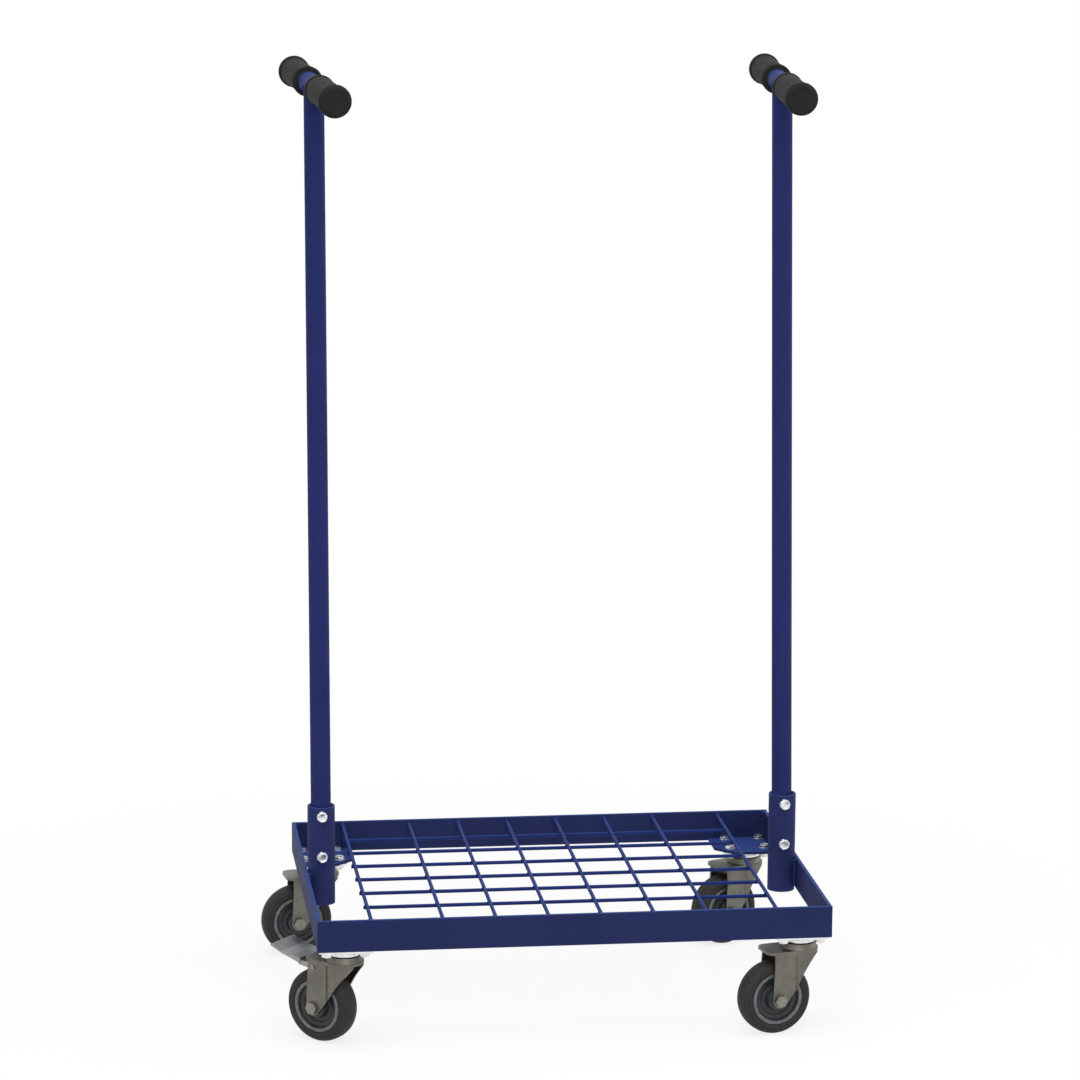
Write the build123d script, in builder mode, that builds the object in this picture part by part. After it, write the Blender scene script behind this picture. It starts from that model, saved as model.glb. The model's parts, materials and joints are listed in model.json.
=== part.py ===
# Low platform cart: a flat-bar frame with a welded wire deck on four swivel castors,
# and two push handles with T grips that plug into round sockets at the ends.
import os
from math import cos, radians, sin, tan

from build123d import *

os.makedirs("parts", exist_ok=True)

# Frame: flat bars on edge, and where its middle stands from the origin
frame_length = 550.0
frame_width = 400.0
rail_height = 34.5
rail_thickness = 4.0
rail_edge_radius = 0.8
frame_x = 22.0
frame_y = 0.5

# Corner plates inside the rails
corner_plate_size = 64.0
corner_plate_thickness = 3.0
corner_plate_chamfer = 22.0

# Wire deck: long wires run front to rear, cross wires lie under them
wire_diameter = 4.0
wire_drop = 3.0
long_wire_pitch = 56.4
outer_wire_pitch = 76.0
inner_wire_count = 6
cross_wire_count = 7
cross_wire_front = 24.8
cross_wire_rear = 54.2
cross_wire_overhang = 3.0

# Push handles
post_diameter = 22.0
tube_wall = 2.0
handle_height = 1003.0
handle_width = 360.0
left_handle_turn = 2.9
right_handle_turn = -3.9
left_handle_lean = -0.3
right_handle_lean = -0.95
post_shoulder = 3.0
grip_length = 130.0
grip_body_diameter = 30.5
grip_collar_diameter = 32.5
grip_collar_width = 5.0
grip_flange_diameter = 34.5
grip_flange_width = 9.0
grip_end_wall = 5.0
grip_clearance = 0.05

# Sockets that hold the posts, with two clamp screws each
socket_diameter = 30.0
socket_above_rail = 73.0
socket_below_rail = 2.5
socket_clearance = 1.1
socket_seat_thickness = 3.0
socket_seat_hole = 14.0
socket_rim_radius = 0.8
weld_width = 14.0
weld_depth = 2.0
weld_end_gap = 3.0
screw_diameter = 6.0
screw_head_flats = 11.0
screw_head_height = 4.5
screw_hole_clearance = 0.05
screw_tip_gap = 0.3
upper_screw_drop = 9.5
screw_spacing = 45.0

# Castors
castor_height = 110.5
castor_inset = 30.5
castor_plate_size = 58.0
castor_plate_thickness = 2.5
castor_plate_corner = 6.0
bolt_pitch = 40.0
bolt_diameter = 6.0
bolt_head_flats = 10.0
bolt_head_height = 4.0
bolt_hole_clearance = 0.2
nut_height = 5.0
bolt_tip = 1.0
race_diameter = 40.0
race_depth = 3.0
bearing_diameter = 36.0
bearing_bore = 18.0
bearing_height = 5.2
swivel_gap = 0.3
kingpin_diameter = 10.0
kingpin_head_diameter = 17.0
kingpin_head_height = 3.5
running_clearance = 0.06

# Castor forks
trail = 28.5
fork_inside = 32.0
fork_sheet = 2.5
crown_thickness = 3.0
crown_diameter = 42.0
dome_diameter = 40.0
dome_height = 6.0
dome_taper = 15.0
hood_reach = 42.0
hood_corner = 9.0
leg_back = 34.0
leg_bend = 10.0
leg_front = -17.5
leg_bend_angle = 15.0
leg_shoulder_drop = 3.0
leg_knee = 9.0
leg_knee_drop = 39.5
leg_arch_sag = 1.5
leg_end_radius = 8.5

# Wheels
wheel_diameter = 80.0
tyre_width = 25.0
tyre_thickness = 11.5
tyre_shoulder = 6.0
hub_rim_width = 22.0
hub_rim_thickness = 4.5
hub_web_width = 9.0
hub_boss_diameter = 24.0
hub_side_gap = 1.0
bush_diameter = 12.0
axle_diameter = 8.0
axle_head_flats = 12.0
axle_head_height = 4.0
axle_nut_height = 6.5
axle_tip = 2.0
axle_clearance = 0.05

# Foot brake on the front left castor
brake_pin_trail = 28.0
brake_pin_drop = 8.5
brake_pin_diameter = 5.0
brake_pin_end = 1.0
brake_travel = 12.0
brake_cheek_radius = 4.0
brake_side_gap = 0.5
brake_shoe_angle = 72.0
brake_shoe_gap = 0.7
brake_shoe_radius = 3.0
brake_shoe_width = 20.0
pedal_thickness = 2.2
pedal_hood_gap = 2.5
pedal_arm_rise = 7.2
pedal_bend_reach = 67.5
pedal_bend_rise = 10.8
pedal_reach = 81.0
pedal_rise = 22.0
pedal_width = 41.0
pedal_lip = 3.4
brake_cheek_end = 2.5
brake_cheek_fall = 1.5

# Places worked out from the sizes above
floor = Plane((frame_x, frame_y, 0))
rail_bottom = castor_height
rail_top = rail_bottom + rail_height
inner_x = frame_length / 2 - rail_thickness
inner_y = frame_width / 2 - rail_thickness
castor_x = frame_length / 2 - castor_inset
castor_y = frame_width / 2 - castor_inset
castor_plate_bottom = castor_height - castor_plate_thickness
race_bottom = castor_plate_bottom - race_depth
dome_top = race_bottom - bearing_height - swivel_gap
crown_top = dome_top - dome_height
crown_bottom = crown_top - crown_thickness
axle_height = wheel_diameter / 2
fork_half = fork_inside / 2 + fork_sheet
post_x = inner_x - socket_diameter / 2
socket_top = rail_top + socket_above_rail
socket_bottom = rail_bottom - socket_below_rail
socket_seat = socket_bottom + socket_seat_thickness
post_radius = post_diameter / 2
grip_gap = handle_width - 2 * grip_length

# Corners by name: side along the length, side along the width, heading of the trailing wheel
corners = {
    "front_left": (-1, -1, 140.0),
    "front_right": (1, -1, 194.0),
    "rear_left": (-1, 1, 188.0),
    "rear_right": (1, 1, 205.0),
}
braked_corner = "front_left"


def save(piece, name):
    piece.part.label = name
    export_step(piece.part, f"parts/{name}.step")


# Front and rear rails, the full length of the frame
for name, side in (("front_rail", -1), ("rear_rail", 1)):
    with BuildPart() as long_rail:
        with BuildSketch(floor.offset(rail_bottom)):
            with Locations((0, side * (inner_y + rail_thickness / 2))):
                Rectangle(frame_length, rail_thickness)
        extrude(amount=rail_height)
        fillet(long_rail.edges().filter_by(Axis.X), radius=rail_edge_radius)
    save(long_rail, name)

# Side rails, welded between the front and rear rails
for name, side in (("left_rail", -1), ("right_rail", 1)):
    with BuildPart() as side_rail:
        with BuildSketch(floor.offset(rail_bottom)):
            with Locations((side * (inner_x + rail_thickness / 2), 0)):
                Rectangle(rail_thickness, 2 * inner_y)
        extrude(amount=rail_height)
        fillet(side_rail.edges().filter_by(Axis.Y), radius=rail_edge_radius)
    save(side_rail, name)

# Corner plates, welded inside the rails level with their lower edges
for corner, (side_x, side_y, heading) in corners.items():
    plate_x = side_x * (inner_x - corner_plate_size / 2)
    plate_y = side_y * (inner_y - corner_plate_size / 2)
    with BuildPart() as corner_plate:
        with BuildSketch(floor.offset(rail_bottom)) as outline:
            with Locations((plate_x, plate_y)):
                Rectangle(corner_plate_size, corner_plate_size)
            chamfer(outline.vertices().sort_by_distance((0, 0, 0))[0], corner_plate_chamfer)
            with Locations((side_x * castor_x, side_y * castor_y)):
                with GridLocations(bolt_pitch, bolt_pitch, 2, 2):
                    Circle(bolt_diameter / 2 + bolt_hole_clearance, mode=Mode.SUBTRACT)
        extrude(amount=corner_plate_thickness)
    save(corner_plate, f"{corner}_corner_plate")

# Long deck wires, from the front rail to the rear rail
wire_radius = wire_diameter / 2
long_wire_height = rail_top - wire_drop - wire_radius
last_inner_wire = long_wire_pitch * (inner_wire_count - 1) / 2
outer_wire = last_inner_wire + outer_wire_pitch
with BuildPart() as long_wires:
    wire_foot = (frame_x, frame_y - inner_y, long_wire_height)
    with BuildSketch(Plane(wire_foot, x_dir=(1, 0, 0), z_dir=(0, 1, 0))):
        with GridLocations(long_wire_pitch, 1, inner_wire_count, 1):
            Circle(wire_radius)
        with Locations((-outer_wire, 0), (outer_wire, 0)):
            Circle(wire_radius)
    extrude(amount=2 * inner_y)
save(long_wires, "deck_long_wires")

# Cross wires, welded under the long wires and cut off just past the outermost ones
cross_wire_height = long_wire_height - wire_diameter
cross_wire_end = outer_wire + cross_wire_overhang
first_cross_wire = cross_wire_front - frame_width / 2
cross_wire_pitch = (frame_width - cross_wire_front - cross_wire_rear) / (cross_wire_count - 1)
with BuildPart() as cross_wires:
    cross_foot = (frame_x - cross_wire_end, frame_y, cross_wire_height)
    with BuildSketch(Plane(cross_foot, x_dir=(0, 1, 0), z_dir=(1, 0, 0))):
        for count in range(cross_wire_count):
            with Locations((first_cross_wire + count * cross_wire_pitch, 0)):
                Circle(wire_radius)
    extrude(amount=2 * cross_wire_end)
save(cross_wires, "deck_cross_wires")

# Handle sockets with a seat for the post, clamp screws, and the handles themselves
upper_screw = socket_top - upper_screw_drop
screw_heights = (upper_screw, upper_screw - screw_spacing)
handles = (
    ("left", -1, left_handle_turn, left_handle_lean),
    ("right", 1, right_handle_turn, right_handle_lean),
)
for end, side, turn, lean in handles:
    post_foot = Vector(frame_x + side * post_x, frame_y, 0)
    post_axis = Axis(post_foot, (0, 0, 1))
    front_view = Plane(post_foot, x_dir=(1, 0, 0), z_dir=(0, -1, 0))
    post_plan = Plane(post_foot)
    bore_radius = post_radius + socket_clearance
    socket_radius = socket_diameter / 2

    with BuildPart() as socket:
        with BuildSketch(front_view):
            with BuildLine():
                Polyline(
                    (socket_seat_hole / 2, socket_bottom),
                    (socket_radius, socket_bottom),
                    (socket_radius, socket_top),
                    (bore_radius, socket_top),
                    (bore_radius, socket_seat),
                    (socket_seat_hole / 2, socket_seat),
                    close=True,
                )
            make_face()
        revolve(axis=post_axis)
        fillet(socket.edges().group_by(Axis.Z)[-1], radius=socket_rim_radius)
        with BuildSketch(post_plan.offset(rail_bottom + weld_end_gap)):
            with Locations((side * (socket_radius - weld_depth / 2), 0)):
                Rectangle(weld_depth, weld_width)
        extrude(amount=rail_height - 2 * weld_end_gap)
        with BuildSketch(front_view):
            with Locations(*[(0, height) for height in screw_heights]):
                Circle(screw_diameter / 2 + screw_hole_clearance)
        extrude(amount=socket_diameter, mode=Mode.SUBTRACT)
    save(socket, f"{end}_socket")

    with BuildPart() as clamp_screws:
        with BuildSketch(front_view.offset(socket_radius)):
            with Locations(*[(0, height) for height in screw_heights]):
                RegularPolygon(screw_head_flats / 2, 6, major_radius=False)
        extrude(amount=screw_head_height)
        chamfer(clamp_screws.edges().group_by(Axis.Y)[0], length=0.15 * screw_head_height)
        with BuildSketch(front_view.offset(post_radius + screw_tip_gap)):
            with Locations(*[(0, height) for height in screw_heights]):
                Circle(screw_diameter / 2)
        extrude(amount=socket_radius - post_radius - screw_tip_gap)
    save(clamp_screws, f"{end}_clamp_screws")

    # Crossbar, square to the post, which is turned and leans a little in the loose socket
    socket_middle = post_foot + Vector(0, 0, (socket_seat + socket_top) / 2)
    post_way = Vector(sin(radians(lean)), 0, cos(radians(lean)))
    turned = Vector(cos(radians(turn)), sin(radians(turn)), 0)
    handle = Plane(socket_middle, x_dir=turned, z_dir=post_way)
    bar_rise = handle_height - socket_middle.Z
    bar_middle = socket_middle + post_way * bar_rise
    toward_rear = handle.y_dir
    bar_half = handle_width / 2 - grip_end_wall
    bar_section = Plane(bar_middle, x_dir=post_way, z_dir=toward_rear)
    with BuildPart() as crossbar:
        with BuildSketch(bar_section):
            Circle(post_radius)
            Circle(post_radius - tube_wall, mode=Mode.SUBTRACT)
        extrude(amount=bar_half, both=True)
    save(crossbar, f"{end}_crossbar")

    # Post, standing on the socket's seat and coped to the crossbar
    post_end = socket_seat - socket_middle.Z + post_radius * abs(tan(radians(lean)))
    with BuildPart() as post:
        with BuildSketch(handle.offset(post_end)):
            Circle(post_radius)
            Circle(post_radius - tube_wall, mode=Mode.SUBTRACT)
        extrude(amount=bar_rise - post_shoulder - post_end)
        with BuildSketch(bar_section):
            Circle(post_radius)
        extrude(amount=post_diameter, both=True, mode=Mode.SUBTRACT)
    save(post, f"{end}_post")

    # Grips, pushed over the crossbar's ends
    grip_bore = post_radius + grip_clearance
    body_radius = grip_body_diameter / 2
    collar_radius = grip_collar_diameter / 2
    flange_radius = grip_flange_diameter / 2
    grip_start = grip_gap / 2
    collar_end = grip_start + grip_collar_width
    grip_end = handle_width / 2
    flange_start = grip_end - grip_flange_width
    collar_step = collar_radius - body_radius
    flange_step = flange_radius - body_radius
    dome = grip_flange_width / 2
    for place, along in (("rear", toward_rear), ("front", -toward_rear)):
        grip_side = Plane(bar_middle, x_dir=along, z_dir=along.cross(post_way))
        with BuildPart() as grip:
            with BuildSketch(grip_side):
                with BuildLine():
                    Polyline(
                        (flange_start - flange_step, body_radius),
                        (collar_end + collar_step, body_radius),
                        (collar_end, collar_radius),
                        (grip_start, collar_radius),
                        (grip_start, grip_bore),
                        (bar_half, grip_bore),
                        (bar_half, 0),
                        (grip_end, 0),
                        (grip_end, flange_radius - dome),
                    )
                    RadiusArc((grip_end, flange_radius - dome), (grip_end - dome, flange_radius), dome)
                    Polyline(
                        (grip_end - dome, flange_radius),
                        (flange_start, flange_radius),
                        (flange_start - flange_step, body_radius),
                    )
                make_face()
            revolve(axis=Axis(bar_middle, along))
        save(grip, f"{end}_{place}_grip")

# Castor bolts and nuts, four to each castor
castor_places = [
    (side_x * castor_x, side_y * castor_y) for side_x, side_y, heading in corners.values()
]
bolt_head_base = rail_bottom + corner_plate_thickness
bolt_end = castor_plate_bottom - nut_height - bolt_tip
with BuildPart() as castor_bolts:
    with BuildSketch(floor.offset(bolt_head_base)):
        with Locations(*castor_places):
            with GridLocations(bolt_pitch, bolt_pitch, 2, 2):
                RegularPolygon(bolt_head_flats / 2, 6, major_radius=False)
    extrude(amount=bolt_head_height)
    with BuildSketch(floor.offset(bolt_end)):
        with Locations(*castor_places):
            with GridLocations(bolt_pitch, bolt_pitch, 2, 2):
                Circle(bolt_diameter / 2)
    extrude(amount=bolt_head_base - bolt_end)
save(castor_bolts, "castor_bolts")

with BuildPart() as castor_nuts:
    with BuildSketch(floor.offset(castor_plate_bottom - nut_height)):
        with Locations(*castor_places):
            with GridLocations(bolt_pitch, bolt_pitch, 2, 2):
                RegularPolygon(bolt_head_flats / 2, 6, major_radius=False)
                Circle(bolt_diameter / 2, mode=Mode.SUBTRACT)
    extrude(amount=nut_height)
save(castor_nuts, "castor_nuts")

# Swivel castors: plate, kingpin and bearing stay with the frame, the rest swivels
for corner, (side_x, side_y, heading) in corners.items():
    swivel_foot = Vector(frame_x + side_x * castor_x, frame_y + side_y * castor_y, 0)
    swivel_axis = Axis(swivel_foot, (0, 0, 1))
    plan = Plane(swivel_foot)
    trail_way = Vector(cos(radians(heading)), sin(radians(heading)), 0)
    axle_way = Vector(0, 0, 1).cross(trail_way)
    fork_plan = Plane(swivel_foot, x_dir=trail_way, z_dir=(0, 0, 1))
    fork_side = Plane(swivel_foot, x_dir=trail_way, z_dir=-axle_way)
    axle_middle = swivel_foot + trail_way * trail + Vector(0, 0, axle_height)
    axle_axis = Axis(axle_middle, axle_way)
    wheel_section = Plane(axle_middle, x_dir=axle_way, z_dir=trail_way)
    axle_section = Plane(axle_middle, x_dir=trail_way, z_dir=axle_way)
    has_brake = corner == braked_corner

    with BuildPart() as castor_plate:
        with BuildSketch(plan.offset(castor_plate_bottom)):
            RectangleRounded(castor_plate_size, castor_plate_size, castor_plate_corner)
            with GridLocations(bolt_pitch, bolt_pitch, 2, 2):
                Circle(bolt_diameter / 2 + bolt_hole_clearance, mode=Mode.SUBTRACT)
        extrude(amount=castor_plate_thickness)
        with BuildSketch(plan.offset(race_bottom)):
            Circle(race_diameter / 2)
        extrude(amount=race_depth, taper=-20)
        with BuildSketch(plan.offset(race_bottom)):
            Circle(kingpin_diameter / 2)
        extrude(amount=castor_height - race_bottom, mode=Mode.SUBTRACT)
    save(castor_plate, f"{corner}_castor_plate")

    with BuildPart() as bearing:
        with BuildSketch(plan.offset(race_bottom - bearing_height)):
            Circle(bearing_diameter / 2)
            Circle(bearing_bore / 2, mode=Mode.SUBTRACT)
        extrude(amount=bearing_height)
        fillet(bearing.edges().group_by(SortBy.LENGTH)[-1], radius=0.4 * bearing_height)
    save(bearing, f"{corner}_swivel_bearing")

    with BuildPart() as kingpin:
        with BuildSketch(plan.offset(crown_bottom - swivel_gap - kingpin_head_height)):
            Circle(kingpin_head_diameter / 2)
        extrude(amount=kingpin_head_height)
        with BuildSketch(plan.offset(crown_bottom - swivel_gap)):
            Circle(kingpin_diameter / 2)
        extrude(amount=castor_height - crown_bottom + swivel_gap)
    save(kingpin, f"{corner}_kingpin")

    # Fork: two pressed legs that wrap round at the front, under a crown with a hood
    leg_end = leg_back + leg_end_radius
    wrap_in = (leg_bend - leg_front) * tan(radians(leg_bend_angle))
    mitre = fork_sheet * tan(radians(leg_bend_angle / 2))
    sheet_across = fork_sheet / cos(radians(leg_bend_angle))
    leg_shoulder = (leg_front, crown_bottom - leg_shoulder_drop)
    leg_knee_point = (leg_knee, crown_bottom - leg_knee_drop)
    pin_height = crown_top - brake_pin_drop
    with BuildPart() as fork:
        with BuildSketch(fork_plan):
            for way in (-1, 1):
                with BuildLine():
                    Polyline(
                        (leg_end, way * fork_half),
                        (leg_bend, way * fork_half),
                        (leg_front, way * (fork_half - wrap_in)),
                        (leg_front, way * (fork_half - wrap_in - sheet_across)),
                        (leg_bend + mitre, way * (fork_half - fork_sheet)),
                        (leg_end, way * (fork_half - fork_sheet)),
                        close=True,
                    )
                make_face()
        extrude(amount=crown_top)
        with BuildSketch(fork_side):
            with BuildLine():
                CenterArc((trail, axle_height), leg_end_radius, 0, 360)
                Polyline((leg_back, crown_top), (leg_knee, crown_top), leg_knee_point)
            make_hull()
            with BuildLine():
                Polyline(leg_knee_point, (leg_knee, crown_top), (leg_front, crown_top), leg_shoulder)
                SagittaArc(leg_shoulder, leg_knee_point, leg_arch_sag)
            make_face()
        extrude(amount=2 * fork_half, both=True, mode=Mode.INTERSECT)
        with BuildSketch(fork_plan.offset(crown_bottom)) as crown:
            Circle(crown_diameter / 2)
            with Locations((hood_reach, 0)):
                Rectangle(hood_reach, 2 * fork_half, align=(Align.MAX, Align.CENTER))
            fillet(crown.vertices().group_by(Axis.X)[-1], radius=hood_corner)
        extrude(amount=crown_thickness)
        with BuildSketch(fork_plan.offset(crown_top)):
            Circle(dome_diameter / 2)
        extrude(amount=dome_height, taper=dome_taper)
        with BuildSketch(fork_plan.offset(crown_bottom)):
            Circle(kingpin_diameter / 2 + running_clearance)
        extrude(amount=dome_top - crown_bottom, mode=Mode.SUBTRACT)
        with BuildSketch(fork_side):
            with Locations((trail, axle_height)):
                Circle(axle_diameter / 2 + axle_clearance)
            if has_brake:
                with Locations((brake_pin_trail, pin_height)):
                    Circle(brake_pin_diameter / 2)
        extrude(amount=2 * fork_half, both=True, mode=Mode.SUBTRACT)
    save(fork, f"{corner}_fork")

    with BuildPart() as axle:
        with BuildSketch(axle_section.offset(fork_half)):
            RegularPolygon(axle_head_flats / 2, 6, major_radius=False)
        extrude(amount=axle_head_height)
        with BuildSketch(axle_section.offset(-fork_half - axle_nut_height - axle_tip)):
            Circle(axle_diameter / 2)
        extrude(amount=2 * fork_half + axle_nut_height + axle_tip)
        with BuildSketch(axle_section.offset(-fork_half - axle_nut_height)):
            RegularPolygon(axle_head_flats / 2, 6, major_radius=False)
            Circle(axle_diameter / 2 + axle_clearance, mode=Mode.SUBTRACT)
        extrude(amount=axle_nut_height)
    save(axle, f"{corner}_axle_bolt")

    with BuildPart() as bush:
        with BuildSketch(axle_section):
            Circle(bush_diameter / 2)
            Circle(axle_diameter / 2 + axle_clearance, mode=Mode.SUBTRACT)
        extrude(amount=fork_inside / 2, both=True)
    save(bush, f"{corner}_axle_bush")

    # Wheel: hub turning on the bush, with a rubber tyre on its rim
    rim_radius = wheel_diameter / 2 - tyre_thickness
    boss_half = fork_inside / 2 - hub_side_gap
    with BuildPart() as hub:
        with BuildSketch(wheel_section):
            with Locations((0, rim_radius - hub_rim_thickness / 2)):
                Rectangle(hub_rim_width, hub_rim_thickness)
            Rectangle(hub_web_width, rim_radius, align=(Align.CENTER, Align.MIN))
            Rectangle(2 * boss_half, hub_boss_diameter / 2, align=(Align.CENTER, Align.MIN))
            bore_half = bush_diameter / 2 + running_clearance
            Rectangle(2 * fork_inside, bore_half, align=(Align.CENTER, Align.MIN), mode=Mode.SUBTRACT)
        revolve(axis=axle_axis)
    save(hub, f"{corner}_wheel_hub")

    with BuildPart() as tyre:
        with BuildSketch(wheel_section) as tyre_profile:
            with Locations((0, rim_radius)):
                Rectangle(tyre_width, tyre_thickness, align=(Align.CENTER, Align.MIN))
            fillet(tyre_profile.vertices().group_by(Axis.Y)[-1], radius=tyre_shoulder)
        revolve(axis=axle_axis)
    save(tyre, f"{corner}_tyre")

    # Foot brake: a pedal with turned-down edges, a cheek inside each leg and a shoe above the tyre
    if has_brake:
        cheek_half = fork_inside / 2 - brake_side_gap
        pedal_half = pedal_width / 2
        pin_point = Vector(brake_pin_trail, pin_height)
        arm_start = Vector(hood_reach + pedal_hood_gap, pin_height + pedal_arm_rise)
        bend_point = Vector(pedal_bend_reach, pin_height + pedal_bend_rise)
        arm_middle = (arm_start + bend_point) * 0.5
        pad_length = pedal_reach - pedal_bend_reach
        tip_point = bend_point + Vector(pad_length, pad_length * tan(radians(pedal_rise)))
        cheek_end = Vector(arm_start.X + brake_cheek_end, pin_height + brake_cheek_fall)
        shoe_distance = wheel_diameter / 2 + brake_shoe_gap + brake_shoe_radius
        shoe_lift = Vector(shoe_distance, 0).rotate(Axis.Z, brake_shoe_angle)
        shoe_pressed = Vector(trail, axle_height) + shoe_lift
        shoe_point = pin_point + (shoe_pressed - pin_point).rotate(Axis.Z, brake_travel)
        with BuildPart() as pedal:
            with BuildSketch(fork_side):
                with BuildLine():
                    Polyline(arm_start, bend_point, tip_point)
                    offset(amount=pedal_thickness / 2)
                make_face()
            extrude(amount=pedal_half, both=True)
            for start in (pedal_half - pedal_thickness, -pedal_half):
                with BuildSketch(fork_side.offset(start)):
                    with BuildLine():
                        CenterArc(arm_start, pedal_thickness / 2, 0, 360)
                        CenterArc(arm_start - Vector(0, pedal_lip), pedal_thickness / 2, 0, 360)
                        CenterArc(bend_point, pedal_thickness / 2, 0, 360)
                    make_hull()
                extrude(amount=pedal_thickness)
            for start in (cheek_half - pedal_thickness, -cheek_half):
                with BuildSketch(fork_side.offset(start)):
                    with BuildLine():
                        CenterArc(pin_point, brake_cheek_radius, 0, 360)
                        CenterArc(cheek_end, brake_cheek_end, 0, 360)
                    make_hull()
                extrude(amount=pedal_thickness)
                with BuildSketch(fork_side.offset(start)):
                    with BuildLine():
                        CenterArc(cheek_end, brake_cheek_end, 0, 360)
                        CenterArc(arm_start, pedal_thickness / 2, 0, 360)
                        CenterArc(arm_middle, pedal_thickness / 2, 0, 360)
                    make_hull()
                extrude(amount=pedal_thickness)
            with BuildSketch(fork_side):
                with BuildLine():
                    CenterArc(shoe_point, brake_shoe_radius, 0, 360)
                    CenterArc(arm_middle, pedal_thickness / 2, 0, 360)
                make_hull()
            extrude(amount=brake_shoe_width / 2, both=True)
            with BuildSketch(fork_side):
                with Locations(pin_point):
                    Circle(brake_pin_diameter / 2 + running_clearance)
            extrude(amount=2 * pedal_half, both=True, mode=Mode.SUBTRACT)
        save(pedal, "brake_pedal")

        with BuildPart() as brake_pin:
            with BuildSketch(fork_side):
                with Locations(pin_point):
                    Circle(brake_pin_diameter / 2)
            extrude(amount=fork_half + brake_pin_end, both=True)
        save(brake_pin, "brake_pin")
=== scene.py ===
# Low platform cart: a painted flat-bar frame with a wire deck on four swivel castors, and
# two T-handles that lift out of their sockets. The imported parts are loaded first, then
# finished piece by piece in the order in which the cart is put together.
import json
from math import cos, pi, radians, sin

import bmesh
import bpy
from mathutils import Euler, Matrix, Vector


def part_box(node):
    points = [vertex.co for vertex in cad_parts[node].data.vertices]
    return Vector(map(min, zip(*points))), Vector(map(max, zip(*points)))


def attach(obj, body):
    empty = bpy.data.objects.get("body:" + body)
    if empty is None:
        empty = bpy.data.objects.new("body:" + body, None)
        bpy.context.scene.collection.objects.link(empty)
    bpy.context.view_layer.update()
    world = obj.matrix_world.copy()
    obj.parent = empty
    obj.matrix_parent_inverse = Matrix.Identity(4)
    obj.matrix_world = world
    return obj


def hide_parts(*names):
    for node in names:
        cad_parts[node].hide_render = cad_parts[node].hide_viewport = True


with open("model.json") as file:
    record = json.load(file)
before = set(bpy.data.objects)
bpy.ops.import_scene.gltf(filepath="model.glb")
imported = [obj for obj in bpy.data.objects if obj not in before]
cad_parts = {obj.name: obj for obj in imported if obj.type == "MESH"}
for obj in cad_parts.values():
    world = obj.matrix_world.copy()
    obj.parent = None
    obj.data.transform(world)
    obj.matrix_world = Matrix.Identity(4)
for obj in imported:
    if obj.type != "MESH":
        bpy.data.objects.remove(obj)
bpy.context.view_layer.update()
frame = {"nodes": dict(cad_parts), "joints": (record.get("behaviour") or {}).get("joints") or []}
nodes = frame["nodes"]
joints = {joint["name"]: joint for joint in frame["joints"]}


# Frame rails: four flat steel bars set on edge, butted and welded into a rectangle, with a
# plate welded into each corner. The whole frame is sprayed dark blue, a satin coat with a
# fine orange peel, thin and scuffed to a paler blue along the edges.
class Amount:
    """A value that varies over a surface. Sums and products of it add Math nodes."""

    def __init__(self, recipe, socket):
        self.recipe = recipe
        self.socket = socket

    def maths(self, operation, first, second):
        return self.recipe.add("ShaderNodeMath", {"operation": operation}, {0: first, 1: second})

    def __add__(self, other):
        return self.maths("ADD", self, other)

    def __radd__(self, other):
        return self.maths("ADD", other, self)

    def __sub__(self, other):
        return self.maths("SUBTRACT", self, other)

    def __rsub__(self, other):
        return self.maths("SUBTRACT", other, self)

    def __mul__(self, other):
        return self.maths("MULTIPLY", self, other)

    def __rmul__(self, other):
        return self.maths("MULTIPLY", other, self)

    def between(self, low, high):
        """0 at low and below, 1 at high and above, with soft ends."""
        ramp = {"interpolation_type": "SMOOTHSTEP"}
        return self.recipe.add("ShaderNodeMapRange", ramp, {"Value": self, "From Min": low, "From Max": high})


class Recipe:
    """A node tree, with the one method that adds a node to it."""

    def __init__(self, tree):
        self.tree = tree

    def add(self, kind, settings, sockets, output=0):
        node = self.tree.nodes.new(kind)
        for name, value in settings.items():
            setattr(node, name, value)
        for key, value in sockets.items():
            if isinstance(value, Amount):
                self.tree.links.new(value.socket, node.inputs[key])
            else:
                node.inputs[key].default_value = value
        return Amount(self, node.outputs[output]) if node.outputs else None


class Coat(Recipe):
    """A surface finish: the standard shader, read in the cart's own coordinates."""

    def __init__(self, name):
        self.material = bpy.data.materials.new(name)
        self.material.use_nodes = True
        super().__init__(self.material.node_tree)
        self.shader = self.tree.nodes["Principled BSDF"]
        self.place = self.add("ShaderNodeTexCoord", {}, {}, "Object")

    def noise(self, scale, detail=2.0, stretch=(1.0, 1.0, 1.0)):
        spot = self.add("ShaderNodeMapping", {}, {"Vector": self.place, "Scale": stretch})
        return self.add("ShaderNodeTexNoise", {}, {"Vector": spot, "Scale": scale, "Detail": detail})

    def along(self, axis):
        return self.add("ShaderNodeSeparateXYZ", {}, {"Vector": self.place}, axis)

    def facing(self, axis):
        normal = self.add("ShaderNodeNewGeometry", {}, {}, "Normal")
        return self.add("ShaderNodeSeparateXYZ", {}, {"Vector": normal}, axis)

    def mixed(self, share, first, second):
        # Inputs 6 and 7 and output 2 of the node are its colours
        return self.add("ShaderNodeMix", {"data_type": "RGBA"}, {0: share, 6: first, 7: second}, 2)

    def relief(self, height, depth):
        return self.add("ShaderNodeBump", {}, {"Height": height, "Strength": 1.0, "Distance": depth})

    def done(self, **sockets):
        for name, value in sockets.items():
            target = self.shader.inputs[name.replace("_", " ")]
            if isinstance(value, Amount):
                self.tree.links.new(value.socket, target)
            else:
                target.default_value = value

    def on(self, *names):
        for name in names:
            for place in nodes[name].material_slots:
                place.material = self.material


deep_blue = (0.006, 0.010, 0.045, 1.0)
rubbed_blue = (0.050, 0.095, 0.300, 1.0)
peel_depth = 0.00004


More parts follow.
